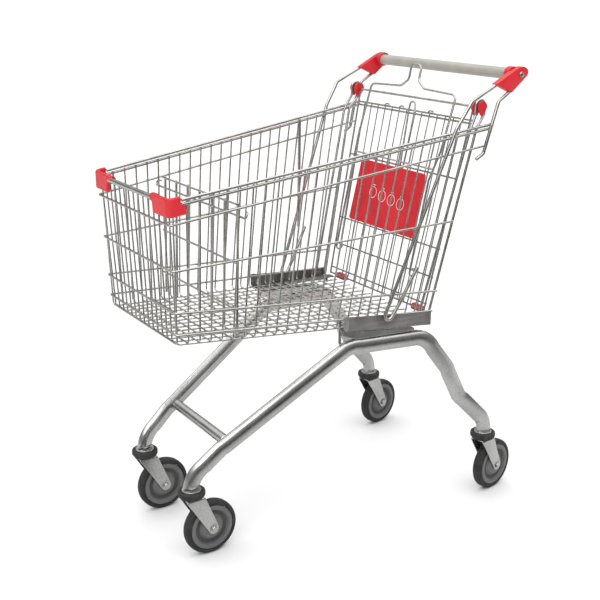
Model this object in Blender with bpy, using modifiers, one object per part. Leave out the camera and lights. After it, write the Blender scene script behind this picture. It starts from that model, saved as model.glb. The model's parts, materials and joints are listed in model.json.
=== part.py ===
"""Wire supermarket cart: +X towards the front, +Y to its left, +Z up, metres, standing on Z = 0."""

import math

import bmesh
import bpy
from mathutils import Matrix, Vector

# Basket walls. A side wall stands at y = WALL_Y at the front bottom corner and flares out from there.
WALL_Y = 0.1608
WALL_X = 0.428
WALL_Z = 0.500
FLARE_BACK = 0.0834
FLARE_UP = 0.0456
FRONT_X = 0.4285
FRONT_Z = 0.600
FRONT_LEAN = 0.044

# Side wires: height at the front corner, and rise per metre towards the back.
BOTTOM_LINE = (0.508, -0.067)
RING_LINES = ((0.529, -0.0695), (0.575, -0.068), (0.661, 0.0448), (0.753, 0.137))
RIM_LINE = (0.7997, 0.1345)
SIDE_WIRES = 26
SIDE_BOTTOM = (0.424, -0.180)
SIDE_TOP = (0.430, -0.272)
FRONT_WIRES = 15
WIRE = 0.0050
DIVIDER_X = 0.284
DIVIDER_HALF = 0.1635
DIVIDER_WIRES = 7

# Rear gate, in a plane leaning back towards its hinge.
GATE_X = -0.175
GATE_Z = 0.464
GATE_LEAN = -0.2205
HINGE_Z = 0.933
GATE_HALF_WIDTHS = (0.186, 0.207)
GATE_WIRES = 13

# Child seat, folded flat against the gate.
SEAT_GAP = 0.018
HANGER_GAP = 0.009
SEAT_HINGE_Z = 0.556
FLAP_GAP = 0.009
FLAP_Z = (0.628, 0.774)
FLAP_MIDDLE = -0.012
FLAP_HALF_WIDTHS = (0.128, 0.122)
FLAP_THICK = 0.003

# Chassis side tube: oval section, bent in an upright plane through its two casters.
TUBE_TALL = 0.037
TUBE_WIDE = 0.024
FRONT_CASTER = (0.384, 0.118)
REAR_CASTER = (-0.340, 0.230)
CASTER_TOP = 0.164

# Casters.
WHEEL_RADIUS = 0.0625
WHEEL_WIDTH = 0.027
WHEEL_SIDES = 24
HUB_RADIUS = 0.0505
AXLE_RADIUS = 0.0040
PIN_RADIUS = 0.0055
AXLE_HEIGHT = WHEEL_RADIUS * math.cos(math.pi / WHEEL_SIDES)
TRAIL = 0.042
FRONT_YAW = math.radians(182)
REAR_YAW = math.radians(191)

# Handle.
HANDLE_X = -0.360
HANDLE_Z = 1.000
HANDLE_RADIUS = 0.0125
HANDLE_HALF = 0.240
CAP_INNER = 0.2225
CAP_OUTER = 0.2535
CAP_OUTLINE = ((-0.336, 1.016), (-0.384, 1.0165), (-0.396, 1.001), (-0.351, 0.9645),
               (-0.305, 0.983))
BOLT_RADIUS = 0.0030
SUPPORT_WIRE = 0.0080
FRONT_SUPPORT = ((-0.322, 0.9893), (-0.236, 0.950), (-0.201, 0.895), (-0.0475, 0.497),
                 (-0.0565, 0.4805), (-0.0685, 0.497), (-0.085, 0.524), (-0.125, 0.600))
REAR_SUPPORT = ((-0.3535, 0.9715), (-0.311, 0.946), (-0.2925, 0.897), (-0.2765, 0.836),
                (-0.258, 0.825))

SIDES = (("left", 1), ("right", -1))


def material(name, colour, roughness, metallic):
    made = bpy.data.materials.new(name)
    made.use_nodes = True
    shader = made.node_tree.nodes["Principled BSDF"]
    shader.inputs["Base Color"].default_value = (*colour, 1.0)
    shader.inputs["Roughness"].default_value = roughness
    shader.inputs["Metallic"].default_value = metallic
    made.diffuse_color = (*colour, 1.0)
    return made


def wall_y(x, z):
    """Distance of a side wall from the middle of the cart."""
    return WALL_Y + FLARE_BACK * (WALL_X - x) + FLARE_UP * (z - WALL_Z)


def line_z(line, x):
    return line[0] + line[1] * (WALL_X - x)


def gate_x(z):
    return GATE_X + GATE_LEAN * (z - GATE_Z)


def add(name, mesh, surface, origin=(0, 0, 0)):
    """Make the mesh a named part of the cart, with its origin at the given point."""
    mesh.transform(Matrix.Translation(-Vector(origin)))
    mesh.materials.append(surface)
    part = bpy.data.objects.new(name, mesh)
    part.location = origin
    bpy.data.collections["shopping_cart"].objects.link(part)
    return part


def mesh_of(name, points, faces):
    """A closed mesh with its faces outward."""
    mesh = bpy.data.meshes.new(name)
    mesh.from_pydata([tuple(point) for point in points], [], faces)
    body = bmesh.new()
    body.from_mesh(mesh)
    bmesh.ops.recalc_face_normals(body, faces=body.faces)
    if body.calc_volume(signed=True) < 0:
        bmesh.ops.reverse_faces(body, faces=body.faces)
    body.to_mesh(mesh)
    body.free()
    return mesh


def skin(name, loops, joined=False):
    """A body through a row of loops of points, ended by flat faces or joined end to end."""
    count = len(loops[0])
    points = [point for loop in loops for point in loop]
    rows = len(loops) if joined else len(loops) - 1
    faces = []
    for row in range(rows):
        start, following = row * count, (row + 1) % len(loops) * count
        for i in range(count):
            j = (i + 1) % count
            faces.append((start + i, start + j, following + j, following + i))
    if not joined:
        faces.append(tuple(range(count))[::-1])
        faces.append(tuple(range(len(points) - count, len(points))))
    return mesh_of(name, points, faces)


def swept(name, path, tall, wide, sides, across):
    """An oval rod along a path that lies in a plane; across is the normal of that plane."""
    path = [Vector(point) for point in path]
    across = Vector(across).normalized()
    loops = []
    for i, point in enumerate(path):
        before, after = path[max(i - 1, 0)], path[min(i + 1, len(path) - 1)]
        along = (after - before).normalized()
        first = (point - before).normalized() if i else along
        stretch = 1 / max(0.7, first.dot(along))
        upward = across.cross(along).normalized()
        loops.append([
            point
            + upward * (math.sin(turn) * tall / 2 * stretch)
            + across * (math.cos(turn) * wide / 2)
            for turn in (2 * math.pi * (k + 0.5) / sides for k in range(sides))
        ])
    return skin(name, loops)


def rounded(corners, radius, steps=4):
    """The path with each inner corner replaced by an arc of the given radius."""
    corners = [Vector(corner) for corner in corners]
    path = [corners[0]]
    for before, corner, after in zip(corners, corners[1:], corners[2:]):
        back, ahead = (before - corner).normalized(), (after - corner).normalized()
        half = back.angle(ahead) / 2
        reach = min(radius / math.tan(half), 0.48 * (before - corner).length,
                    0.48 * (after - corner).length)
        centre = corner + (back + ahead).normalized() * (reach / math.cos(half))
        start, end = corner + back * reach, corner + ahead * reach
        for step in range(steps + 1):
            spoke = (start - centre).lerp(end - centre, step / steps)
            path.append(centre + spoke.normalized() * (start - centre).length)
    path.append(corners[-1])
    return path


def cut(part, mesh, operation="DIFFERENCE"):
    """Cut a part with a mesh given in world coordinates, or join the mesh to it."""
    tool = bpy.data.objects.new("cutter", mesh)
    tool.display_type = "WIRE"
    tool.hide_render = True
    bpy.data.collections["cutters"].objects.link(tool)
    step = part.modifiers.new("cut", "BOOLEAN")
    step.operation = operation
    step.solver = "EXACT"
    step.object = tool


def lathe(name, profile, sides, centre, axis=(0, 0, 1)):
    """A solid of revolution with flat ends."""
    return turned(name, profile, sides, axis, centre, joined=False)


def turned(name, profile, sides, axis, centre, joined=True):
    """A body of revolution. The profile is (distance from the axis, distance along it)."""
    axis = Vector(axis).normalized()
    spin = axis.to_track_quat("Z", "Y").to_matrix()
    loops = []
    for k in range(sides):
        turn = 2 * math.pi * (k + 0.5) / sides
        spoke = Vector((math.cos(turn), math.sin(turn), 0))
        loops.append([
            Vector(centre) + spin @ (spoke * out + Vector((0, 0, along)))
            for out, along in profile
        ])
    if joined:
        return skin(name, loops, joined=True)
    return skin(name, [list(loop) for loop in zip(*loops)])


def prism(name, outline, start, end):
    """An outline of (x, z) points carried from y = start to y = end."""
    return skin(name, [[(x, start, z) for x, z in outline], [(x, end, z) for x, z in outline]])


def lattice(name, rows, surface, origin=(0, 0, 0), gaps=()):
    """Crossed wires along the lines of a flat grid of points. No wire borders only gaps."""
    body = bmesh.new()
    points = [[body.verts.new(point) for point in row] for row in rows]
    for i, (low, high) in enumerate(zip(points, points[1:])):
        for j in range(len(low) - 1):
            if (i, j) not in gaps:
                body.faces.new((low[j], low[j + 1], high[j + 1], high[j]))
    bmesh.ops.delete(body, geom=[v for v in body.verts if not v.link_faces], context="VERTS")
    mesh = bpy.data.meshes.new(name)
    body.to_mesh(mesh)
    body.free()
    panel = add(name, mesh, surface, origin)
    wires = panel.modifiers.new("wires", "WIREFRAME")
    wires.thickness = WIRE
    wires.use_boundary = True
    wires.use_even_offset = True
    wires.use_replace = True
    return panel


def side_panel(name, side, surface):
    """Side wall: upright wires fanning out, crossed by the four ring wires."""
    columns = []
    for j in range(SIDE_WIRES):
        t = j / (SIDE_WIRES - 1)
        low_x = SIDE_BOTTOM[0] + t * (SIDE_BOTTOM[1] - SIDE_BOTTOM[0])
        high_x = SIDE_TOP[0] + t * (SIDE_TOP[1] - SIDE_TOP[0])
        low_z, high_z = line_z(BOTTOM_LINE, low_x), line_z(RIM_LINE, high_x) - 0.004
        column = []
        for line in (BOTTOM_LINE, *RING_LINES, (RIM_LINE[0] - 0.004, RIM_LINE[1])):
            drop = line_z(line, low_x) - low_z
            climb = high_z - low_z + line[1] * (high_x - low_x)
            s = drop / climb
            x, z = low_x + s * (high_x - low_x), low_z + s * (high_z - low_z)
            column.append((x, side * (wall_y(x, z) - 0.003), z))
        columns.append(column)
    lattice(name, columns, surface)


def front_x(z):
    return FRONT_X + FRONT_LEAN * (z - FRONT_Z)


def front_panel(surface):
    heights = [BOTTOM_LINE[0] + 0.006, *(line[0] for line in RING_LINES), RIM_LINE[0] - 0.012]
    rows = []
    for z in heights:
        half = wall_y(front_x(z), z) - 0.012
        rows.append([
            (front_x(z), half * (2 * j / (FRONT_WIRES - 1) - 1), z) for j in range(FRONT_WIRES)
        ])
    lattice("basket_front", rows, surface)


def floor_panel(surface):
    """Basket floor: the front wires run on along it, crossed by wires from the two sides."""
    rows = []
    for i in range(13):
        x = 0.417 - i * (0.417 + 0.196) / 12
        z = line_z(BOTTOM_LINE, x)
        half = wall_y(x, z) - 0.0095
        rows.append([(x, half * (2 * j / 8 - 1), z) for j in range(9)])
    lattice("basket_floor", rows, surface)


def divider_panel(surface):
    """Nearly upright grille across the front of the basket."""
    rows = []
    for z in (0.5155, 0.5605, 0.657, 0.7555, 0.776):
        x = DIVIDER_X + 0.030 * (0.776 - z)
        rows.append([
            (x, DIVIDER_HALF * (2 * j / (DIVIDER_WIRES - 1) - 1), z) for j in range(DIVIDER_WIRES)
        ])
    lattice("basket_divider", rows, surface)


def rim(name, side, surface):
    """Double top wire: one length, folded back on itself at the rear."""
    corners = []
    for x, drop in ((0.405, 0), (-0.300, 0), (-0.300, 0.0085), (0.405, 0.0085)):
        z = line_z(RIM_LINE, x) - drop
        corners.append((x, side * (wall_y(x, line_z(RIM_LINE, x)) + 0.004), z))
    normal = (FLARE_BACK, side, 0)
    add(name, swept(name, rounded(corners, 0.004, 3), 0.0068, 0.0068, 8, normal), surface)


def corner_guard(name, side, surface):
    """Plastic bumper wrapped round a front top corner, over the ends of the rim."""
    stations = (
        (0.4455, 0.1070, 0.0060, 0.0000),
        (0.4455, 0.1500, 0.0000, 0.0000),
        (0.4445, 0.1660, 0.0000, 0.0000),
        (0.4365, 0.1805, 0.0000, 0.0000),
        (0.4210, 0.1845, 0.0000, 0.0000),
        (0.4165, 0.1850, 0.0000, 0.0080),
    )
    thick = 0.0045
    centre = Vector((0.380, 0.090))
    loops = []
    for x, y, slant_y, slant_x in stations:
        outer = Vector((x, y))
        if y < 0.155:
            inner = outer - Vector((thick, 0))
        elif x < 0.415:
            inner = outer - Vector((0, thick))
        else:
            inner = outer - (outer - centre).normalized() * thick
        lower = Vector((-slant_x, slant_y))
        loops.append([
            (p.x, side * p.y, z)
            for p, z in (
                (outer + lower, 0.7680), (outer, 0.8060), (inner, 0.8060), (inner + lower, 0.7680)
            )
        ])
    add(name, skin(name, loops), surface)


def front_rim(surface):
    start, end = (0.4395, -0.106, 0.7963), (0.4395, 0.106, 0.7963)
    mesh = swept("front_rim_bar", [start, end], 0.0115, 0.0115, 12, (0, 0, 1))
    add("front_rim_bar", mesh, surface)


def side_channel(name, side, surface):
    """Folded steel angle outside the foot of a side wall, turned in below the floor."""
    loops = []
    for x in (0.047, -0.176):
        top = 0.5070 - 0.09 * (0.047 - x)
        outer = wall_y(x, top) + 0.0045
        section = ((0, 0), (0.002, 0), (0.002, -0.034), (0.026, -0.034), (0.026, -0.036),
                   (0, -0.036))
        loops.append([(x, side * (outer - inward), top + up) for inward, up in section])
    add(name, skin(name, loops), surface)


def mount_plate(name, side, surface):
    """Wedge between the side tube and the angle above it, with its nose turned up at the front."""
    outline = ((-0.136, 0.4466), (0.008, 0.4466), (0.040, 0.4580), (0.044, 0.4700), (-0.136, 0.4537))
    half = 0.0095
    loops = []
    for x, z in outline:
        y = tube_y(x)
        loops.append([(x, side * (y - half), z), (x, side * (y + half), z)])
    add(name, skin(name, [list(edge) for edge in zip(*loops)]), surface)


def tube_y(x):
    t = (FRONT_CASTER[0] - x) / (FRONT_CASTER[0] - REAR_CASTER[0])
    return FRONT_CASTER[1] + t * (REAR_CASTER[1] - FRONT_CASTER[1])


def side_tube(name, side, surface):
    """Oval tube: up from the front caster, along under the basket, and down to the rear caster."""
    corners = [
        (FRONT_CASTER[0], CASTER_TOP), (FRONT_CASTER[0], 0.186), (0.322, 0.238),
        (0.020, 0.4275), (-0.168, 0.4255), (-0.228, 0.345), (-0.265, 0.268),
        (REAR_CASTER[0], 0.190), (REAR_CASTER[0], CASTER_TOP),
    ]
    path = rounded([(x, side * tube_y(x), z) for x, z in corners], 0.060, 3)
    reach = (REAR_CASTER[1] - FRONT_CASTER[1]) / (FRONT_CASTER[0] - REAR_CASTER[0])
    mesh = swept(name, path, TUBE_TALL, TUBE_WIDE, 14, (reach, side, 0))
    add(name, mesh, surface)


def cross_tube(surface):
    half = tube_y(0.2985) - 0.0146
    path = [(0.2985, -half, 0.2520), (0.2985, half, 0.2520)]
    add("cross_tube", swept("cross_tube", path, 0.024, 0.024, 16, (0, 0, 1)), surface)


def caster(place, side, pivot, yaw, metals):
    """Swivel caster: stem, rubber ring, fork, axle, hub and tyre, trailing at the given yaw."""
    steel, plated, rubber, plastic = metals
    x, y = pivot[0], side * pivot[1]
    back = Vector((math.cos(yaw), math.sin(yaw), 0))
    across = Vector((-back.y, back.x, 0))
    axle = Vector((x, y, 0)) + back * TRAIL + Vector((0, 0, AXLE_HEIGHT))
    pin = Vector((x, y, 0))

    stem = ((0.0200, CASTER_TOP - 0.0005), (0.0215, CASTER_TOP - 0.0025), (0.0215, 0.1578),
            (0.0200, 0.1562), (PIN_RADIUS, 0.1562), (PIN_RADIUS, 0.1385))
    add(f"{place}_stem", lathe(f"{place}_stem", stem, 16, pin), steel)
    ring = ((0.0064, 0.1556), (0.0285, 0.1556), (0.0300, 0.1540), (0.0300, 0.1495),
            (0.0270, 0.1480), (0.0262, 0.1452), (0.0064, 0.1452))
    add(f"{place}_ring", turned(f"{place}_ring", ring, 20, (0, 0, 1), pin), rubber)
    mesh = fork_mesh(f"{place}_fork", pin, back, across)
    fork = add(f"{place}_fork", mesh, plated, (x, y, 0.1400))
    for radius, ends, middle, axis in ((PIN_RADIUS, (0.1300, 0.1500), pin, (0, 0, 1)),
                                       (AXLE_RADIUS, (-0.0300, 0.0300), axle, across)):
        hole = [(radius + 0.0005, end) for end in ends]
        cut(fork, lathe("hole", hole, 12, middle, axis))

    half = WHEEL_WIDTH / 2
    bolt = ((0.0075, -0.0235), (0.0075, -0.0195), (AXLE_RADIUS, -0.0195),
            (AXLE_RADIUS, 0.0195), (0.0075, 0.0195), (0.0075, 0.0235))
    add(f"{place}_axle", lathe(f"{place}_axle", bolt, 12, axle, across), steel, axle)
    bore = AXLE_RADIUS + 0.0006
    hub = ((bore, -half), (0.0235, -half), (0.0275, -0.0075), (0.0380, -0.0075),
           (0.0410, -half + 0.001), (HUB_RADIUS, -half + 0.002), (HUB_RADIUS, half - 0.002),
           (0.0410, half - 0.001), (0.0380, 0.0075), (0.0275, 0.0075), (0.0235, half),
           (bore, half))
    add(f"{place}_hub", turned(f"{place}_hub", hub, 20, across, axle), plastic, axle)
    seat = HUB_RADIUS + 0.0009
    tyre = ((seat, -half + 0.0015), (0.0590, -half + 0.0015), (WHEEL_RADIUS, -half + 0.006),
            (WHEEL_RADIUS, half - 0.006), (0.0590, half - 0.0015), (seat, half - 0.0015))
    mesh = turned(f"{place}_tyre", tyre, WHEEL_SIDES, across, axle)
    add(f"{place}_tyre", mesh, rubber, axle)


def fork_mesh(name, pin, back, across):
    """Bent sheet fork: a crown under the ring and two arms that reach back to the axle."""
    outer, inner = 0.0190, 0.0160
    arm = ((-0.0200, 0.1447), (0.0220, 0.1447), (0.0360, 0.1120), (0.0540, 0.0680),
           (0.0530, 0.0540), (0.0430, 0.0470), (0.0325, 0.0530), (-0.0120, 0.1220))
    inside = ((-0.0187, 0.1410), (0.0236, 0.1410), *arm[2:])
    points = [
        pin + back * s + across * offset + Vector((0, 0, z))
        for outline, offset in ((arm, outer), (inside, inner), (inside, -inner), (arm, -outer))
        for s, z in outline
    ]
    n = len(arm)
    faces = [tuple(range(start, start + n)) for start in (0, n, 2 * n, 3 * n)]
    for near, far in ((0, n), (3 * n, 2 * n)):
        for i in range(1, n):
            j = (i + 1) % n
            faces.append((near + i, near + j, far + j, far + i))
    for start in (0, n):
        end = 3 * n - start
        faces.append((start, start + 1, end + 1, end))
    for i in (0, 1):
        faces.append((i, n + i, 2 * n + i, 3 * n + i))
    return mesh_of(name, points, faces)


def support_y(x, z):
    """A handle support runs outside the rim, then leans in a little towards the handle."""
    if z < 0.900:
        return wall_y(x, z) + 0.0122
    return 0.2518 - 0.06 * (z - 0.900)


def support(name, corners, side, bend, width):
    path = [(x, side * support_y(x, z), z) for x, z in corners]
    normal = (FLARE_BACK, side, -FLARE_UP)
    return swept(name, rounded(path, bend, 3), width, width, 8, normal)


def handle(metals):
    steel, plastic, tube = metals
    inner, outer = HANDLE_RADIUS - 0.0018, HANDLE_RADIUS
    profile = ((inner, -HANDLE_HALF), (outer, -HANDLE_HALF), (outer, HANDLE_HALF),
               (inner, HANDLE_HALF))
    centre = (HANDLE_X, 0, HANDLE_Z)
    add("handle_tube", turned("handle_tube", profile, 20, (0, 1, 0), centre), tube, centre)
    for label, side in SIDES:
        axis = (0, side, 0)
        front, rear = f"handle_support_front_{label}", f"handle_support_rear_{label}"
        add(front, support(front, FRONT_SUPPORT, side, 0.012, SUPPORT_WIRE), steel)
        add(rear, support(rear, REAR_SUPPORT, side, 0.012, SUPPORT_WIRE), steel)
        name = f"handle_cap_{label}"
        cap = add(name, prism(name, CAP_OUTLINE, side * CAP_INNER, side * CAP_OUTER), plastic)
        socket = ((outer + 0.0005, 0.2150), (outer + 0.0005, HANDLE_HALF + 0.0005))
        bore = ((BOLT_RADIUS + 0.0005, 0.2300), (BOLT_RADIUS + 0.0005, 0.2600))
        cut(cap, lathe("socket", socket, 20, centre, axis))
        cut(cap, lathe("bore", bore, 12, centre, axis))
        cut(cap, support("slot", FRONT_SUPPORT[:3], side, 0.012, SUPPORT_WIRE + 0.0012))
        cut(cap, support("slot", REAR_SUPPORT[:3], side, 0.012, SUPPORT_WIRE + 0.0012))
        bolt = ((0.0060, CAP_OUTER + 0.0045), (0.0060, CAP_OUTER + 0.0004),
                (BOLT_RADIUS, CAP_OUTER + 0.0004), (BOLT_RADIUS, 0.2310))
        name = f"handle_bolt_{label}"
        add(name, lathe(name, bolt, 12, centre, axis), steel)


def hinge_parts(steel, plastic):
    """Bushing for each end of the gate's hinge wire, and the wire arch that holds it up."""
    x = gate_x(HINGE_Z)
    for label, side in SIDES:
        name = f"hinge_bushing_{label}"
        bush = ((0.0036, 0.2120), (0.0100, 0.2120), (0.0100, 0.2251), (0.0036, 0.2251))
        mesh = turned(name, bush, 12, (0, side, 0), (x, 0, HINGE_Z))
        add(name, mesh, plastic)
        name = f"hinge_arch_{label}"
        y = side * 0.2279
        corners = [(x + 0.0145, y, 0.872), (x + 0.0145, y, 0.948), (x - 0.0145, y, 0.948),
                   (x - 0.0145, y, 0.872)]
        mesh = swept(name, rounded(corners, 0.0138, 3), 0.0045, 0.0045, 6, (0, 1, 0))
        add(name, mesh, steel)


def floor_clips(plastic):
    """Plastic stops that the foot of the gate rests against."""
    low, high = 0.4696, 0.4835
    outline = ((-0.196, low), (-0.184, low), (-0.184, high - 0.004), (-0.188, high),
               (-0.196, high))
    for label, side in SIDES:
        name = f"gate_stop_{label}"
        add(name, prism(name, outline, side * 0.132, side * 0.170), plastic)


def gate(steel):
    origin = (gate_x(HINGE_Z), 0, HINGE_Z)
    rows = []
    for z in (0.480, 0.495, 0.556, 0.620, 0.776, 0.896, 0.903, 0.9262):
        t = min(1, (z - 0.478) / (0.903 - 0.478))
        half = GATE_HALF_WIDTHS[0] + t * (GATE_HALF_WIDTHS[1] - GATE_HALF_WIDTHS[0])
        rows.append([
            (gate_x(z), half * (2 * j / (GATE_WIRES - 1) - 1), z) for j in range(GATE_WIRES)
        ])
    top = len(rows) - 2
    gaps = {(top, j) for j in range(1, GATE_WIRES - 2)}
    lattice("gate_panel", rows, steel, origin, gaps)
    ends = [(origin[0], -0.2235, HINGE_Z), (origin[0], 0.2235, HINGE_Z)]
    mesh = swept("gate_hinge_wire", ends, 0.0060, 0.0060, 10, (0, 0, 1))
    add("gate_hinge_wire", mesh, steel, origin)


def child_seat(steel, plastic):
    """Seat back, one bent wire with a hanger-shaped top, and the plastic seat plate behind it."""
    right_leg = ((-0.159, SEAT_HINGE_Z), (-0.157, 0.830))
    left_leg = ((0.152, 0.830), (0.132, 0.765), (0.132, SEAT_HINGE_Z))
    hanger = ((-0.155, 0.952), (-0.042, 0.956), (-0.018, 0.972), (-0.0185, 1.0065))
    outline = [*right_leg, *hanger, *((-y, z) for y, z in reversed(hanger)), *left_leg]
    path = [(gate_x(z) + (SEAT_GAP if z < 0.9 else HANGER_GAP), y, z) for y, z in outline]
    normal = (1, 0, -GATE_LEAN)
    origin = (gate_x(SEAT_HINGE_Z) + SEAT_GAP, 0, SEAT_HINGE_Z)
    mesh = swept("seat_back", rounded(path, 0.014, 3), 0.0055, 0.0055, 6, normal)
    back = add("seat_back", mesh, steel, origin)
    x = gate_x(0.790) + SEAT_GAP
    rung = [(x, -0.1575, 0.790), (x, 0.1405, 0.790)]
    cut(back, swept("rung", rung, 0.0045, 0.0045, 6, (0, 0, 1)), "UNION")

    low, high = FLAP_Z
    loops = []
    for z, half in zip((low, high), FLAP_HALF_WIDTHS):
        x = gate_x(z) + FLAP_GAP
        left, right = FLAP_MIDDLE + half, FLAP_MIDDLE - half
        loops.append([
            (x, right, z), (x, left, z), (x + FLAP_THICK, left, z), (x + FLAP_THICK, right, z)
        ])
    origin = (gate_x(low) + FLAP_GAP + FLAP_THICK / 2, 0, low)
    add("seat_plate", skin("seat_plate", loops), plastic, origin)


def build():
    for old in list(bpy.data.objects):
        bpy.data.objects.remove(old, do_unlink=True)
    for name in ("shopping_cart", "cutters"):
        collection = bpy.data.collections.new(name)
        bpy.context.scene.collection.children.link(collection)
    bpy.data.collections["cutters"].hide_render = True

    wire = material("bright_zinc_wire", (0.62, 0.62, 0.60), 0.28, 1.0)
    steel = material("galvanised_steel", (0.55, 0.56, 0.56), 0.34, 1.0)
    sheet = material("dark_steel_sheet", (0.115, 0.110, 0.110), 0.45, 0.6)
    red = material("red_plastic", (0.72, 0.022, 0.032), 0.38, 0.0)
    rubber = material("black_rubber", (0.016, 0.016, 0.017), 0.65, 0.0)
    grey = material("grey_wheel_plastic", (0.21, 0.22, 0.22), 0.50, 0.0)
    pale = material("pale_grey_handle", (0.51, 0.49, 0.43), 0.42, 0.0)

    for label, side in SIDES:
        side_panel(f"basket_side_{label}", side, wire)
        rim(f"rim_wire_{label}", side, wire)
        corner_guard(f"corner_guard_{label}", side, red)
        side_channel(f"side_channel_{label}", side, sheet)
        mount_plate(f"mount_plate_{label}", side, steel)
        side_tube(f"side_tube_{label}", side, steel)
        metals = (steel, steel, rubber, grey)
        caster(f"front_{label}", side, FRONT_CASTER, FRONT_YAW, metals)
        caster(f"rear_{label}", side, REAR_CASTER, REAR_YAW, metals)
    front_panel(wire)
    front_rim(wire)
    floor_panel(wire)
    divider_panel(wire)
    cross_tube(steel)
    handle((wire, red, pale))
    hinge_parts(wire, red)
    floor_clips(red)
    gate(wire)
    child_seat(wire, red)


build()
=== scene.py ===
"""Wire shopping cart: its wires, tubes, mouldings and wheels, their finishes, and the stage."""

import json
import math

import bmesh
import bpy
from mathutils import Matrix, Vector

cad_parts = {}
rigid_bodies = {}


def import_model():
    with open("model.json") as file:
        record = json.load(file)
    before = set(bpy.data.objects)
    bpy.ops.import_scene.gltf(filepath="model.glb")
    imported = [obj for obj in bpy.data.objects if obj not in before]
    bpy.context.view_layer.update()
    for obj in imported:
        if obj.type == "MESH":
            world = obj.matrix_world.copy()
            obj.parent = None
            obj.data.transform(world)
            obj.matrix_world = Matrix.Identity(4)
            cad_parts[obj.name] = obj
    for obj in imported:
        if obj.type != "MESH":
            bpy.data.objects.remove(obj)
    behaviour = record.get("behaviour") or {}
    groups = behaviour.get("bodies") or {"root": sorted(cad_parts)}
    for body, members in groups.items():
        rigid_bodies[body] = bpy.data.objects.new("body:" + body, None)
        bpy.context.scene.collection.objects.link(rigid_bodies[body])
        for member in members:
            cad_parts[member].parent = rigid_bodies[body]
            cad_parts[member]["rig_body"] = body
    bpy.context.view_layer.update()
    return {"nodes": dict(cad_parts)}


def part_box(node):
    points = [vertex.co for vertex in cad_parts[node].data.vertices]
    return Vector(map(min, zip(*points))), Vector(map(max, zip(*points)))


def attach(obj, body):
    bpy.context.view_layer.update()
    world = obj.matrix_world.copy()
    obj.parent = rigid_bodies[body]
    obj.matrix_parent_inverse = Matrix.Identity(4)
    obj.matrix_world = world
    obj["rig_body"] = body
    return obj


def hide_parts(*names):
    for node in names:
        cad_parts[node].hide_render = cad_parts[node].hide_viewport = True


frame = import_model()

bl_info = {
    "name": "Wire Shopping Cart",
    "version": (1, 0, 0),
    "blender": (4, 5, 0),
    "location": "View3D > Sidebar > Cart",
    "description": "Builds the visible parts of a wire shopping cart round its fixed frame",
    "category": "Object",
}

SIDES = (("left", 1), ("right", -1))
UP = Vector((0, 0, 1))

# Basket walls: distance from the middle at the front bottom corner, and how they flare.
WALL_Y, WALL_X, WALL_Z = 0.1608, 0.428, 0.500
FLARE_BACK, FLARE_UP = 0.0834, 0.0456
FRONT_X, FRONT_Z, FRONT_LEAN = 0.4285, 0.600, 0.044
FLOOR_LINE = (0.508, -0.067)
RING_LINES = ((0.529, -0.0695), (0.575, -0.068), (0.661, 0.0448), (0.753, 0.137))
RING_ENDS = (-0.181, -0.190, -0.2185, -0.2885)
RIM_LINE = (0.7997, 0.1345)
SIDE_FEET, SIDE_TOPS = (0.424, -0.180), (0.430, -0.272)

# Gate: it leans back towards its hinge. Half-width at the foot, and how much wider the top is.
GATE_X, GATE_Z, GATE_LEAN = -0.175, 0.464, -0.2205
GATE_HALF, GATE_SPREAD = 0.186, 0.021
GATE_ROWS = (0.903, 0.896, 0.776, 0.620, 0.556, 0.495, 0.480)
GATE_LOOPS = (-0.094, -0.038, 0.069)
GATE_HOOK = ((0.0000, 0.7760), (-0.0085, 0.9000), (-0.0085, 0.9225), (0.0085, 0.9225),
             (0.0150, 0.9000), (0.0120, 0.7760))

# Child seat, folded against the gate: gaps to it below and at the hanger, hinge and rung heights.
SEAT_GAP, HANGER_GAP, SEAT_HINGE_Z, SEAT_RUNG_Z = 0.018, 0.009, 0.556, 0.790
SEAT_EYES = (-0.159, 0.132)
HANGER = ((-0.155, 0.952), (-0.042, 0.956), (-0.018, 0.972), (-0.0185, 1.0065))
PLATE_GAP, PLATE_THICK, PLATE_TAPER = 0.009, 0.003, 0.006

# Divider: top height and place, lean, half-width, and the end of its hooked wire.
DIVIDER_X, DIVIDER_TOP, DIVIDER_LEAN, DIVIDER_HALF = 0.284, 0.776, 0.030, 0.1635
DIVIDER_ROWS = (0.776, 0.657, 0.5605)
DIVIDER_HOOK = ((0.1900, 0.7640, -0.0030), (0.2010, 0.7640, 0.0000), (0.2010, 0.7540, 0.0045))

# Corner guards: start beside the middle, and ends of the side's upper part and lower lobe.
GUARD_START, GUARD_END, GUARD_LOBE_X, GUARD_LOBE_Z = 0.106, 0.4165, 0.4055, 0.790
GUARD_THICK = 0.0085

# Handle supports, gate stays and handle caps, as (x, z).
FRONT_SUPPORT = ((-0.322, 0.9893), (-0.236, 0.950), (-0.201, 0.895), (-0.0475, 0.497),
                 (-0.0565, 0.4805), (-0.0685, 0.497), (-0.085, 0.524), (-0.125, 0.600))
REAR_SUPPORT = ((-0.3535, 0.9715), (-0.311, 0.946), (-0.2925, 0.897), (-0.2765, 0.836),
                (-0.258, 0.825))
STAY_FEET = ((-0.1500, 0.4900), (-0.2470, 0.8830), (-0.2640, 0.8870), (-0.1735, 0.4790),
             (-0.1810, 0.4600), (-0.1740, 0.4540))
CAP_OUTLINE = ((-0.3630, 1.0160), (-0.3830, 1.0162), (-0.3925, 1.0010), (-0.3440, 0.9625),
               (-0.2975, 0.9825))

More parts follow.
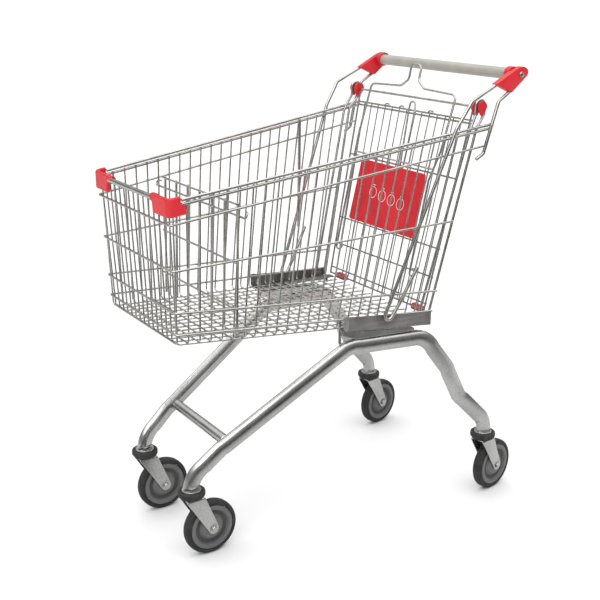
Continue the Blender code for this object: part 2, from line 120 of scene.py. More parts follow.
# Chassis: line of a side tube, wedge on top of it, and tab of the steel angle, as (x, z).
TUBE_LINE = ((0.384, 0.164), (0.384, 0.186), (0.322, 0.238), (0.020, 0.4275),
             (-0.168, 0.4255), (-0.228, 0.345), (-0.265, 0.268), (-0.340, 0.190),
             (-0.340, 0.164))
WEDGE_OUTLINE = ((-0.136, 0.4466), (0.008, 0.4466), (0.040, 0.4580), (0.044, 0.4700),
                 (-0.136, 0.4537))
TAB_OUTLINE = ((0.0500, 0.5085), (0.0370, 0.5078), (0.0370, 0.4800), (0.0430, 0.4745),
               (0.0500, 0.4810))

# Casters: turned outlines as (radius, height above the floor); fork half-width, top, eye radius.
COLLAR_OUTLINE = ((0, 0.1385), (0.0055, 0.1385), (0.0055, 0.1562), (0.0196, 0.1562),
                  (0.0214, 0.1572), (0.0215, 0.1612), (0.0205, 0.1632), (0.0150, 0.1634),
                  (0, 0.1634))
BUMPER_OUTLINE = ((0.0064, 0.1556), (0.0222, 0.1556), (0.0226, 0.1596), (0.0240, 0.1606),
                  (0.0272, 0.1604), (0.0290, 0.1590), (0.0296, 0.1565), (0.0296, 0.1508),
                  (0.0292, 0.1496), (0.0276, 0.1490), (0.0268, 0.1478), (0.0262, 0.1454),
                  (0.0064, 0.1453))
FORK_ARM, FORK_TOP, FORK_EYE = 0.0190, 0.1447, 0.0125

# Wheels: half outlines as (radius, distance from the middle), out from the axle or the rim.
HUB_OUTLINE = ((0.0505, 0.0112), (0.0480, 0.0124), (0.0425, 0.0124), (0.0405, 0.0112),
               (0.0392, 0.0078), (0.0372, 0.0066), (0.0290, 0.0066), (0.0268, 0.0080),
               (0.0240, 0.0124), (0.0225, 0.0134), (0.0090, 0.0134), (0.0070, 0.0128),
               (0.0046, 0.0128))
# Thin darker ring laid in each hub's recess, which is painted shade.
RECESS_SHADE_OUTLINE = ((0.0296, 0.0060), (0.0388, 0.0060), (0.0388, 0.0072), (0.0296, 0.0072))
TREAD_OUTLINE = ((0, 0), (0.0002, 0.0050), (0.0014, 0.0088), (0.0044, 0.0116), (0.0084, 0.0123))


def wall_y(x, z):
    """Distance of a side wall from the middle of the cart."""
    return WALL_Y + FLARE_BACK * (WALL_X - x) + FLARE_UP * (z - WALL_Z)


def line_z(line, x):
    return line[0] + line[1] * (WALL_X - x)


def front_x(z):
    return FRONT_X + FRONT_LEAN * (z - FRONT_Z)


def gate_x(z):
    return GATE_X + GATE_LEAN * (z - GATE_Z)


def middle(node):
    low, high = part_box(node)
    return (low + high) / 2


# ---- settings


def size(name, text, value):
    return bpy.props.FloatProperty(
        name=name, description=text, default=value, min=0.0001, max=10.0, precision=5,
        subtype="DISTANCE", unit="LENGTH",
    )


def number(name, text, value, least, most):
    return bpy.props.IntProperty(name=name, description=text, default=value, min=least, max=most)


def share(name, text, value, most=1.0):
    return bpy.props.FloatProperty(name=name, description=text, default=value, min=0.0, max=most)


def colour(name, text, value):
    return bpy.props.FloatVectorProperty(
        name=name, description=text, default=value, size=3, min=0.0, max=1.0, subtype="COLOR",
    )


class CartSizes(bpy.types.PropertyGroup):
    upright: size("Upright wire", "Diameter of the basket's upright and floor wires", 0.0037)
    ring: size("Ring wire", "Diameter of the wires that run round the basket", 0.0050)
    rim: size("Rim wire", "Diameter of each of the two rim wires", 0.0066)
    gate: size("Gate wire", "Diameter of the gate's upright wires", 0.0028)
    gate_cross: size("Gate cross wire", "Diameter of the gate's level wires", 0.0046)
    divider: size("Divider wire", "Diameter of the divider's upright wires", 0.0056)
    divider_wires: number("Divider wires", "Upright wires in the divider", 7, 3, 20)
    stay: size("Stay wire", "Diameter of the stays that carry the gate's bushings", 0.0062)
    support: size("Support wire", "Diameter of the handle's support wires", 0.0080)
    side_wires: number("Side wires", "Upright wires in each side wall", 26, 8, 60)
    front_wires: number("Front wires", "Upright wires in the front wall", 15, 5, 40)
    gate_wires: number("Gate wires", "Upright wires in the gate", 16, 5, 40)
    tube_tall: size("Tube height", "Long axis of the side tubes' oval section", 0.0370)
    tube_wide: size("Tube width", "Short axis of the side tubes' oval section", 0.0240)
    tube_bend: size("Tube bend", "Radius of the bends in the side tubes", 0.0600)
    sheet: size("Sheet thickness", "Thickness of the folded steel sheet", 0.0020)
    fork_sheet: size("Fork thickness", "Thickness of the fork's steel sheet", 0.0030)
    edge: size("Moulded edge", "Radius on the edges of the plastic mouldings", 0.0014)


class CartColours(bpy.types.PropertyGroup):
    wire: colour("Wire", "Bright zinc plating on the wires", (0.60, 0.595, 0.565))
    steel: colour("Tube steel", "Plating on the tubes, forks and collars", (0.60, 0.60, 0.585))
    sheet: colour("Dark sheet", "Folded steel angle below the basket", (0.25, 0.240, 0.232))
    red: colour("Red plastic", "Mouldings on the rim, handle and seat", (0.66, 0.012, 0.022))
    rubber: colour("Rubber", "Tyres and bumper rings", (0.014, 0.014, 0.015))
    hub: colour("Wheel plastic", "Rims of the wheels", (0.135, 0.138, 0.140))
    # Darker colour for the rings in the wheels' recesses: painted shade.
    hub_recess_shade: colour("Recess shade", "Painted shade in the wheels' recesses", (0.060, 0.056, 0.052))
    handle: colour("Handle", "Skin of the handle's bar", (0.40, 0.39, 0.345))
    mark: colour("Mark", "Plain printed rings on the seat plate", (0.86, 0.84, 0.82))
    floor: colour("Floor", "Studio floor", (0.86, 0.86, 0.86))


class StageSettings(bpy.types.PropertyGroup):
    lens: bpy.props.FloatProperty(
        name="Lens", description="Focal length on a 36 mm sensor", default=61.97, min=20.0,
        max=200.0, subtype="DISTANCE_CAMERA", unit="CAMERA",
    )
    sky: share("Overhead light", "Strength of the soft light from above", 2.35, 20.0)
    horizon: share("Horizon", "Strength of the light from the sides", 0.30, 20.0)
    key: share("Key light", "Power of the large soft lamp, in watts", 40.0, 5000.0)
    dark_side: share("Dark side", "Darkest part of the floor in polished metal", 0.04, 1.0)
    bright_side: share("Bright side", "Brightest part of the floor in polished metal", 0.62, 1.0)


# ---- bending and turning


def verts_of(made):
    return [g for g in made if isinstance(g, bmesh.types.BMVert)]


def ends_of(made):
    """The vertices and edges of the ring that an extrude or a spin has just made."""
    verts = verts_of(made)
    group = set(verts)
    edges = [g for g in made
             if isinstance(g, bmesh.types.BMEdge) and all(v in group for v in g.verts)]
    return verts, edges


def push(body, edges, step):
    """Extrude the edges by the step, and give back the new ones."""
    verts, edges = ends_of(bmesh.ops.extrude_edge_only(body, edges=edges)["geom"])
    bmesh.ops.translate(body, verts=verts, vec=step)
    return verts, edges


def run(body, edges, corners, bend, steps=5):
    """Extrude the edges from the first corner to the last, with a round bend at each between."""
    corners = [Vector(corner) for corner in corners]
    here = corners[0]
    for i in range(1, len(corners)):
        ahead = (corners[i] - corners[i - 1]).normalized()
        if i == len(corners) - 1:
            verts, edges = push(body, edges, corners[i] - here)
            break
        after = (corners[i + 1] - corners[i]).normalized()
        angle = ahead.angle(after)
        if angle < 1e-4:
            continue
        setback = bend * math.tan(angle / 2)
        start = corners[i] - ahead * setback
        if (start - here).dot(ahead) > 1e-6:
            verts, edges = push(body, edges, start - here)
        inward = (after - ahead * ahead.dot(after)).normalized()
        made = bmesh.ops.spin(
            body, geom=edges, cent=start + inward * bend, axis=ahead.cross(after).normalized(),
            angle=angle, steps=max(2, math.ceil(steps * angle / 1.5)), use_merge=False,
            use_duplicate=False,
        )
        verts, edges = ends_of(made["geom_last"])
        here = corners[i] + after * setback
    return verts, edges


def bar(body, corners, tall, bend=0.0, sides=8, wide=None, up=UP, steps=5):
    """Round or oval bar bent along the corners, with its ends closed and slightly rounded."""
    corners = [Vector(corner) for corner in corners]
    ahead = (corners[1] - corners[0]).normalized()
    across = up.cross(ahead)
    if across.length < 1e-4:
        across = Vector((1, 0, 0))
    across.normalize()
    turn = Matrix((across, ahead.cross(across), ahead)).transposed().to_4x4()
    section = Matrix.Diagonal(((wide or tall) / tall, 1, 1, 1))
    crown = tall * 0.12
    made = bmesh.ops.create_circle(
        body, cap_ends=True, segments=sides, radius=tall / 2 * 0.76,
        matrix=Matrix.Translation(corners[0]) @ turn @ section,
    )
    edges = list({edge for vert in made["verts"] for edge in vert.link_edges})
    verts, edges = push(body, edges, ahead * crown)
    bmesh.ops.scale(body, verts=verts, vec=Vector((1, 1, 1)) / 0.76,
                    space=Matrix.Translation(-(corners[0] + ahead * crown)))
    last = (corners[-1] - corners[-2]).normalized()
    line = [corners[0] + ahead * crown, *corners[1:-1], corners[-1] - last * crown]
    verts, edges = run(body, edges, line, bend, steps)
    verts, edges = push(body, edges, last * crown)
    bmesh.ops.scale(body, verts=verts, vec=Vector((0.76, 0.76, 0.76)),
                    space=Matrix.Translation(-corners[-1]))
    bmesh.ops.contextual_create(body, geom=edges)


def turned(body, outline, centre, axis, segments=48, closed=True):
    """Turn an outline of (radius, height) pairs all the way round the axis."""
    axis = Vector(axis).normalized()
    place = Matrix.Translation(centre) @ axis.to_track_quat("Z", "Y").to_matrix().to_4x4()
    verts = [body.verts.new(place @ Vector((radius, 0, height))) for radius, height in outline]
    pairs = list(zip(verts, verts[1:])) + ([(verts[-1], verts[0])] if closed else [])
    edges = [body.edges.new(pair) for pair in pairs]
    bmesh.ops.spin(body, geom=edges, cent=centre, axis=axis, angle=math.tau, steps=segments,
                   use_merge=True, use_duplicate=False)


def both_ways(half):
    """Half outline of (radius, height) pairs, with its mirror image on the other side."""
    return [*((radius, -height) for radius, height in reversed(half) if height), *half]


def block(body, outline, step):
    """Flat outline of points made solid along the step."""
    face = body.faces.new([body.verts.new(point) for point in outline])
    made = bmesh.ops.extrude_face_region(body, geom=[face], use_keep_orig=True)["geom"]
    bmesh.ops.translate(body, verts=verts_of(made), vec=Vector(step))


def trim(body, point, outward, score_only=False):
    """Cut away everything beyond the point in the outward direction, or only score the plane."""
    bmesh.ops.bisect_plane(
        body, geom=[*body.verts, *body.edges, *body.faces], dist=1e-7, plane_co=Vector(point),
        plane_no=Vector(outward), clear_outer=not score_only,
    )


def round_off(body, edges, radius, steps):
    bmesh.ops.bevel(body, geom=edges, offset=radius, affect="EDGES", segments=steps,
                    profile=0.5, material=-1, clamp_overlap=True)


def thicken(body, thickness, outward):
    """Give an open sheet its thickness on the side away from the outward direction."""
    outward = Vector(outward)
    bmesh.ops.recalc_face_normals(body, faces=body.faces)
    facing = max((face.normal.dot(outward) for face in body.faces), key=abs)
    bmesh.ops.solidify(body, geom=list(body.faces), thickness=math.copysign(thickness, facing))


def show(name, data):
    made = bpy.data.objects.new(name, data)
    bpy.context.scene.collection.objects.link(made)
    return made


def piece(name, body, finish, *nodes, edge=0.0, rides_on=None, crease=38.0):
    """Finish the shape as one object that rides on a body and stands for the named solids."""
    bmesh.ops.remove_doubles(body, verts=body.verts, dist=1e-6)
    bmesh.ops.recalc_face_normals(body, faces=body.faces)
    mesh = bpy.data.meshes.new(name)
    body.to_mesh(mesh)
    body.free()
    mesh.materials.append(bpy.data.materials[finish])
    mesh.shade_smooth()
    mesh.set_sharp_from_angle(angle=math.radians(crease))
    made = show(name, mesh)
    if edge:
        rounding = made.modifiers.new("rounded_edges", "BEVEL")
        rounding.width = edge
        rounding.segments = 3
        rounding.limit_method = "ANGLE"
        rounding.angle_limit = math.radians(crease)
        rounding.use_clamp_overlap = True
    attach(made, rides_on or frame["nodes"][nodes[0]]["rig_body"])
    if nodes:
        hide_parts(*nodes)


def turned_piece(name, outline, centre, axis, segments, finish, *nodes, closed=True, **extra):
    """One turned shape finished as a piece of its own."""
    body = bmesh.new()
    turned(body, outline, centre, axis, segments, closed)
    piece(name, body, finish, *nodes, **extra)


def straight_bar(name, node, finish, sides):
    """Round bar straight across the cart in place of the named solid."""
    low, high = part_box(node)
    centre = (low + high) / 2
    body = bmesh.new()
    ends = [(centre.x, y, centre.z) for y in (low.y, high.y)]
    bar(body, ends, high.z - low.z, sides=sides)
    piece(name, body, finish, node)


# ---- finishes


def preset(node, **values):
    """Set a shader node's sockets, named in lower case with underscores."""
    for name, value in values.items():
        node.inputs[name.replace("_", " ").title()].default_value = value
    return node


class Finish:
    """A material under construction: noise patterns on Object coordinates round one shader."""

    def __init__(self, name, metallic, roughness, coat=0.0):
        made = bpy.data.materials.get(name) or bpy.data.materials.new(name)
        made.use_nodes = True
        self.tree = made.node_tree
        self.tree.nodes.clear()
        self.shader = preset(self.add("ShaderNodeBsdfPrincipled"), metallic=metallic,
                             roughness=roughness, coat_weight=coat)
        output = self.add("ShaderNodeOutputMaterial")
        self.join(self.shader.outputs["BSDF"], output.inputs["Surface"])
        self.place = self.add("ShaderNodeTexCoord").outputs["Object"]

    def add(self, kind):
        return self.tree.nodes.new(kind)

    def join(self, source, target):
        self.tree.links.new(source, target)

    def noise(self, scale, detail=4.0, stretch=(1, 1, 1), distortion=0.0):
        mapping = preset(self.add("ShaderNodeMapping"), scale=stretch)
        self.join(self.place, mapping.inputs["Vector"])
        pattern = preset(self.add("ShaderNodeTexNoise"), scale=scale, detail=detail,
                         distortion=distortion)
        self.join(mapping.outputs["Vector"], pattern.inputs["Vector"])
        return pattern.outputs["Fac"]

    def ramp(self, source, stops):
        made = self.add("ShaderNodeValToRGB")
        for element, (position, shade) in zip(made.color_ramp.elements, stops):
            element.position = position
            element.color = (*shade, 1)
        self.join(source, made.inputs["Fac"])
        return made.outputs["Color"]

    def spread(self, source, low, high):
        made = preset(self.add("ShaderNodeMapRange"), from_min=0.3, from_max=0.7, to_min=low,
                      to_max=high)
        self.join(source, made.inputs["Value"])
        return made.outputs["Result"]

    def mix(self, amount, under, over, kind="MIX"):
        made = self.add("ShaderNodeMix")
        made.data_type = "RGBA"
        made.blend_type = kind
        if isinstance(amount, float):
            made.inputs["Factor"].default_value = amount
        else:
            self.join(amount, made.inputs["Factor"])
        self.join(under, made.inputs["A"])
        self.join(over, made.inputs["B"])
        return made.outputs["Result"]

    def paint(self, colours):
        self.join(colours, self.shader.inputs["Base Color"])

    def gloss(self, values):
        self.join(values, self.shader.inputs["Roughness"])

    def relief(self, heights, strength, distance):
        made = preset(self.add("ShaderNodeBump"), strength=strength, distance=distance)
        self.join(heights, made.inputs["Height"])
        self.join(made.outputs["Normal"], self.shader.inputs["Normal"])


def toned(shade, factor):
    return tuple(min(1.0, channel * factor) for channel in shade)


def plated(name, shade, low, high, clouds, grain):
    """Bright plating: cloudy tone, fine spangle, dull patches and drawn marks."""
    made = Finish(name, 1.0, (low + high) / 2)
    cloud = made.noise(clouds, 5.0, distortion=0.4)
    fine = made.noise(grain, 3.0)
    tone = made.ramp(cloud, ((0.30, toned(shade, 0.80)), (0.72, toned(shade, 1.12))))
    spangle = made.ramp(fine, ((0.35, (0.86, 0.86, 0.86)), (0.65, (1.0, 1.0, 1.0))))
    made.paint(made.mix(1.0, tone, spangle, "MULTIPLY"))
    made.gloss(made.spread(made.noise(clouds * 2.3, 6.0), low, high))
    made.relief(made.noise(grain * 1.7, 2.0, (1, 1, 0.25)), 0.12, 0.0004)


def moulded(name, shade, roughness, grain, coat=0.0):
    """Moulded plastic: soft colour drift, scuffs that catch dust, and a fine leathery grain."""
    made = Finish(name, 0.0, roughness, coat)
    drift = made.noise(14.0, 4.0, distortion=0.3)
    scuff = made.noise(160.0, 8.0, (1, 1, 2.5))
    tone = made.ramp(drift, ((0.30, toned(shade, 0.84)), (0.70, toned(shade, 1.10))))
    worn = made.ramp(drift, ((0.30, toned(shade, 1.02)), (0.70, toned(shade, 1.30))))
    marks = made.ramp(scuff, ((0.60, (0.0, 0.0, 0.0)), (0.78, (0.5, 0.5, 0.5))))
    made.paint(made.mix(marks, tone, worn))
    made.gloss(made.spread(scuff, roughness * 0.85, roughness * 1.25))
    made.relief(made.noise(grain, 3.0), 0.16, 0.0003)


def rubbery(name, shade):
    """Rubber: near black, greyer where dust clings, with a matt pebbled skin."""
    made = Finish(name, 0.0, 0.66)
    dust = made.noise(55.0, 8.0, distortion=0.6)
    made.paint(made.ramp(dust, ((0.42, toned(shade, 0.85)), (0.78, toned(shade, 3.2)))))
    made.gloss(made.spread(dust, 0.52, 0.82))
    made.relief(made.noise(900.0, 3.0), 0.25, 0.0003)


def make_finishes(shades):
    """Make every finish of the cart; the dark sheet also shows the lines of its rolling."""
    plated("bright_zinc_wire", shades.wire, 0.20, 0.36, 22.0, 420.0)
    plated("galvanised_steel", shades.steel, 0.17, 0.34, 9.0, 260.0)
    sheet = Finish("dark_steel_sheet", 0.75, 0.42)
    cloud = sheet.noise(18.0, 6.0, distortion=0.5)
    rolled = sheet.noise(60.0, 5.0, (0.12, 1, 6))
    dark, light = toned(shades.sheet, 0.72), toned(shades.sheet, 1.45)
    tone = sheet.ramp(cloud, ((0.32, dark), (0.70, light)))
    lines = sheet.ramp(rolled, ((0.35, (0.80, 0.80, 0.80)), (0.65, (1.0, 1.0, 1.0))))
    sheet.paint(sheet.mix(1.0, tone, lines, "MULTIPLY"))
    sheet.gloss(sheet.spread(cloud, 0.32, 0.55))
    sheet.relief(rolled, 0.10, 0.0003)
    moulded("red_plastic", shades.red, 0.42, 700.0, 0.05)
    moulded("grey_wheel_plastic", shades.hub, 0.46, 800.0)
    # The darker rings in the wheels' recesses use this finish, which is painted shade.
    moulded("recess_shade_plastic", shades.hub_recess_shade, 0.62, 800.0)
    moulded("pale_grey_handle", shades.handle, 0.40, 520.0)
    moulded("pale_print", shades.mark, 0.45, 600.0)
    rubbery("black_rubber", shades.rubber)


# ---- basket


def hoop_points(t, side):
    """Top and foot of a side wire, t from 0 at the front to 1 at the rear."""
    foot_x = SIDE_FEET[0] + t * (SIDE_FEET[1] - SIDE_FEET[0])
    top_x = SIDE_TOPS[0] + t * (SIDE_TOPS[1] - SIDE_TOPS[0])
    top_z, foot_z = line_z(RIM_LINE, top_x) - 0.003, line_z(FLOOR_LINE, foot_x)
    return (
        (top_x, side * (wall_y(top_x, top_z) - 0.0022), top_z),
        (foot_x, side * (wall_y(foot_x, foot_z) - 0.0030), foot_z),
    )


class CART_OT_hoops(bpy.types.Operator):
    """Bend the wires that go down one side wall, across the floor and up the other"""

    bl_idname = "cart.hoops"
    bl_label = "Side and floor wires"

    def execute(self, context):
        sizes = context.scene.cart_sizes
        body = bmesh.new()
        for j in range(sizes.side_wires - 2):
            t = j / (sizes.side_wires - 1)
            left, right = hoop_points(t, 1), hoop_points(t, -1)
            bar(body, (left[0], left[1], right[1], right[0]), sizes.upright, 0.008, 8)
        piece("basket_hoops", body, "bright_zinc_wire",
              "basket_side_left", "basket_side_right", "basket_floor")
        return {"FINISHED"}


class CART_OT_front_wires(bpy.types.Operator):
    """Bend the wires that come down the front wall and run back along the floor"""

    bl_idname = "cart.front_wires"
    bl_label = "Front wires"

    def execute(self, context):
        sizes = context.scene.cart_sizes
        body = bmesh.new()
        for j in range(sizes.front_wires):
            k = 2 * j / (sizes.front_wires - 1) - 1
            line = []
            for x, z in ((front_x(0.793), 0.793), (front_x(0.5045), 0.5045),
                         (-0.186, line_z(FLOOR_LINE, -0.186) - 0.0036)):
                line.append((x - 0.0030, k * (wall_y(x, z) - 0.0105), z))
            bar(body, line, sizes.upright, 0.008, 8)
        piece("basket_front_wires", body, "bright_zinc_wire", "basket_front")
        return {"FINISHED"}


class CART_OT_rings(bpy.types.Operator):
    """Bend the four ring wires round the basket, and the double rim wires"""

    bl_idname = "cart.rings"
    bl_label = "Ring and rim wires"

    def execute(self, context):
        sizes = context.scene.cart_sizes
        body = bmesh.new()
        for line, rear in zip(RING_LINES, RING_ENDS):
            z = line[0]
            x = front_x(z) + 0.0022
            rear_z = line_z(line, rear)
            rear_y, front_y = wall_y(rear, rear_z) + 0.0014, wall_y(x, z) + 0.0022
            corners = ((rear, rear_y, rear_z), (x, front_y, z), (x, -front_y, z),
                       (rear, -rear_y, rear_z))
            bar(body, corners, sizes.ring, 0.0075, 10, steps=8)
        piece("ring_wires", body, "bright_zinc_wire", rides_on="cart")
        for label, side in SIDES:
            body = bmesh.new()
            corners = []
            for x, drop in ((0.415, 0), (-0.299, 0), (-0.299, 0.0085), (0.415, 0.0085)):
                z = line_z(RIM_LINE, x)
                corners.append((x, side * (wall_y(x, z) + 0.004), z - drop))
            bar(body, corners, sizes.rim, 0.0042, 12, steps=8)
            piece(f"rim_wires_{label}", body, "bright_zinc_wire", f"rim_wire_{label}")
        return {"FINISHED"}


class CART_OT_divider(bpy.types.Operator):
    """Build the upright divider across the front of the basket, hooked on its ring wires"""

    bl_idname = "cart.divider"
    bl_label = "Divider"

    def execute(self, context):
        sizes = context.scene.cart_sizes
        body = bmesh.new()

        def at(y, z, forward=0.0):
            return (DIVIDER_X + DIVIDER_LEAN * (DIVIDER_TOP - z) + forward, y, z)

        for j in range(sizes.divider_wires):
            y = DIVIDER_HALF * (2 * j / (sizes.divider_wires - 1) - 1)
            bar(body, (at(y, 0.778), at(y, 0.512)), sizes.divider, sides=10)
        cross, end = sizes.ring * 0.9, DIVIDER_HALF + 0.003
        for z in DIVIDER_ROWS:
            bar(body, (at(-end, z, 0.0045), at(end, z, 0.0045)), cross, sides=10)
        hooked = [*(at(-y, z, step) for y, z, step in DIVIDER_HOOK),
                  *(at(y, z, step) for y, z, step in reversed(DIVIDER_HOOK))]
        bar(body, hooked, cross, 0.0045, 10, steps=8)
        piece("divider_grille", body, "bright_zinc_wire", "basket_divider")
        return {"FINISHED"}


class CART_OT_corners(bpy.types.Operator):
    """Mould the two corner guards and fit the thick bar between them"""

    bl_idname = "cart.corners"
    bl_label = "Corner guards and front bar"

    def execute(self, context):
        straight_bar("front_bar", "front_rim_bar", "bright_zinc_wire", 24)
        low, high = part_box("front_rim_bar")
        centre, radius = middle("front_rim_bar"), (high.z - low.z) / 2
        for label, side in SIDES:
            self.guard(label, side)
            outline = [(radius + wall, y) for wall, y in (
                (0.0002, 0.0980), (0.0022, 0.0980), (0.0032, 0.0992), (0.0034, 0.1120),
                (0.0002, 0.1120))]
            turned_piece(f"corner_socket_{label}", outline, (centre.x - 0.0036, 0, centre.z),
                         (0, side, 0), 32, "red_plastic", rides_on="cart")
        return {"FINISHED"}

    def guard(self, label, side):
        """Sheet bent round the corner, cut to its stepped outline and sloped with the rim."""
        low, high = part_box(f"corner_guard_{label}")
        front, wall = high.x - 0.0012, max(abs(low.y), abs(high.y)) - 0.0008
        body = bmesh.new()
        start = Vector((front, side * 0.100, low.z))
        edge = body.edges.new((body.verts.new(start),
                               body.verts.new(start + UP * (high.z - low.z))))
        line = (start, (front, side * (wall - 0.0015), low.z), (0.402, side * wall, low.z))
        run(body, [edge], line, 0.017, 12)
        trim(body, (front, side * GUARD_START, 0.800), (0, -side * 0.030, -0.006))
        trim(body, (GUARD_END, 0, 0), (1, 0, 0), score_only=True)
        trim(body, (0, 0, GUARD_LOBE_Z), (0, 0, 1), score_only=True)
        centres = [(face, face.calc_center_median()) for face in body.faces]
        upper = [face for face, at in centres if at.x < GUARD_END and at.z > GUARD_LOBE_Z]
        bmesh.ops.delete(body, geom=upper, context="FACES")
        trim(body, (GUARD_LOBE_X, side * wall, 0.775), (-1, 0, 0.12))
        for vert in body.verts:
            vert.co.z += RIM_LINE[1] * (front - vert.co.x)
        thicken(body, GUARD_THICK, (1, 0, 0))
        piece(f"corner_moulding_{label}", body, "red_plastic", f"corner_guard_{label}",
              edge=0.0036)


# ---- chassis


def tube_y(x):
    front, rear = middle("front_left_ring"), middle("rear_left_ring")
    return front.y + (front.x - x) / (front.x - rear.x) * (rear.y - front.y)


class CART_OT_tubes(bpy.types.Operator):
    """Bend the two oval side tubes and fit the round tube between them"""

    bl_idname = "cart.tubes"
    bl_label = "Chassis tubes"

    def execute(self, context):
        sizes = context.scene.cart_sizes
        for label, side in SIDES:
            body = bmesh.new()
            line = [(x, side * tube_y(x), z) for x, z in TUBE_LINE]
            front, rear = Vector(line[0]), Vector(line[-1])
            across = UP.cross(rear - front).normalized()
            bar(body, line, sizes.tube_tall, sizes.tube_bend, 32, sizes.tube_wide,
                up=UP.cross(across), steps=14)
            piece(f"chassis_tube_{label}", body, "galvanised_steel", f"side_tube_{label}")
        straight_bar("chassis_cross_tube", "cross_tube", "galvanised_steel", 32)
        return {"FINISHED"}


class CART_OT_channels(bpy.types.Operator):
    """Fold the steel angles below the basket and set them on their mounting wedges"""

    bl_idname = "cart.channels"
    bl_label = "Angles and mounting wedges"

    def execute(self, context):
        sizes = context.scene.cart_sizes
        for label, side in SIDES:
            self.angle(label, side, sizes.sheet)
            self.wedge(label, side)
            self.fittings(label, side)
        return {"FINISHED"}

    def angle(self, label, side, sheet):
        """Upright sheet outside the basket's foot, folded inward along its lower edge."""
        body = bmesh.new()
        tops = []
        for x in (0.047, -0.176):
            z = 0.5070 - 0.09 * (0.047 - x)
            tops.append(Vector((x, side * (wall_y(x, z) + 0.0045 - sheet / 2), z)))
        edge = body.edges.new([body.verts.new(top) for top in tops])
        along = (tops[1] - tops[0]).normalized()
        inward = (UP.cross(along) * side).normalized()
        corner = tops[0] - UP * 0.035
        run(body, [edge], (tops[0], corner, corner + inward * 0.025), 0.004, 6)
        bmesh.ops.translate(body, verts=body.verts, vec=-inward * sheet / 2)
        thicken(body, sheet, -inward)
        piece(f"steel_angle_{label}", body, "dark_steel_sheet", f"side_channel_{label}",
              edge=0.0005)

    def fittings(self, label, side):
        """Bright tab on the front end of the angle, and the short stay down to the side tube."""
        body = bmesh.new()
        outer = side * (wall_y(0.044, 0.500) + 0.0046)
        block(body, [(x, outer, z) for x, z in TAB_OUTLINE], (0, side * 0.0014, 0))
        y = side * tube_y(0.042)
        bar(body, ((0.0425, y, 0.5000), (0.0415, y, 0.4385)), 0.0076, sides=16)
        piece(f"angle_fittings_{label}", body, "galvanised_steel", rides_on="cart", edge=0.0004)

    def wedge(self, label, side):
        body = bmesh.new()
        points = [(x, side * (tube_y(x) - 0.0095), z) for x, z in WEDGE_OUTLINE]
        block(body, points, (0, side * 0.019, 0))
        piece(f"mounting_wedge_{label}", body, "galvanised_steel", f"mount_plate_{label}",
              edge=0.0012)


# ---- casters and wheels


PLACES = [f"{end}_{label}" for end in ("front", "rear") for label, _ in SIDES]


def caster_axes(place):
    """Pivot, axle centre, trailing direction and axle direction of a caster."""
    pivot, axle = middle(f"{place}_ring"), middle(f"{place}_axle")
    back = Vector((axle.x - pivot.x, axle.y - pivot.y, 0)).normalized()
    return pivot, axle, back, Vector((-back.y, back.x, 0))


class CART_OT_casters(bpy.types.Operator):
    """Build each caster's weld collar, bumper ring and folded fork"""

    bl_idname = "cart.casters"
    bl_label = "Casters"

    def execute(self, context):
        sizes = context.scene.cart_sizes
        for place in PLACES:
            pivot, axle, back, across = caster_axes(place)
            foot = Vector((pivot.x, pivot.y, 0))
            turned_piece(f"{place}_collar", COLLAR_OUTLINE, foot, UP, 40, "galvanised_steel",
                         f"{place}_stem", closed=False, edge=0.0004)
            turned_piece(f"{place}_bumper", BUMPER_OUTLINE, foot, UP, 48, "black_rubber",
                         f"{place}_ring")
            self.fork(place, foot, axle, back, across, sizes.fork_sheet)
        return {"FINISHED"}

    def fork(self, place, foot, axle, back, across, sheet):
        """Strip bent into an arch over the wheel, with tapered arms and round eyes."""
        def at(s, offset, z):
            return foot + back * s + across * offset + UP * z

        body = bmesh.new()
        edge = body.edges.new((body.verts.new(at(-0.020, -FORK_ARM, 0.050)),
                               body.verts.new(at(0.058, -FORK_ARM, 0.050))))
        line = (at(0, -FORK_ARM, 0.050), at(0, -FORK_ARM, FORK_TOP), at(0, FORK_ARM, FORK_TOP),
                at(0, FORK_ARM, 0.050))
        run(body, [edge], line, 0.0065, 8)
        for upper, lower, wanted in (
            (at(0.0220, 0, FORK_TOP), at(0.0532, 0, 0.0675), back),
            (at(-0.0145, 0, 0.1300), at(0.0308, 0, 0.0565), -back),
        ):
            outward = across.cross((lower - upper).normalized())
            trim(body, upper, outward if outward.dot(wanted) > 0 else -outward)
        trim(body, axle, (axle - at(0.001, 0, FORK_TOP)).normalized())
        thicken(body, sheet, UP)
        piece(f"{place}_fork_sheet", body, "galvanised_steel", f"{place}_fork", edge=0.0006)
        body = bmesh.new()
        for start in (-FORK_ARM, FORK_ARM - sheet):
            eye = ((0, start), (FORK_EYE, start), (FORK_EYE, start + sheet), (0, start + sheet))
            turned(body, eye, axle, across, 32, closed=False)
        piece(f"{place}_fork_eyes", body, "galvanised_steel", rides_on=f"caster_{place}",
              edge=0.0006)


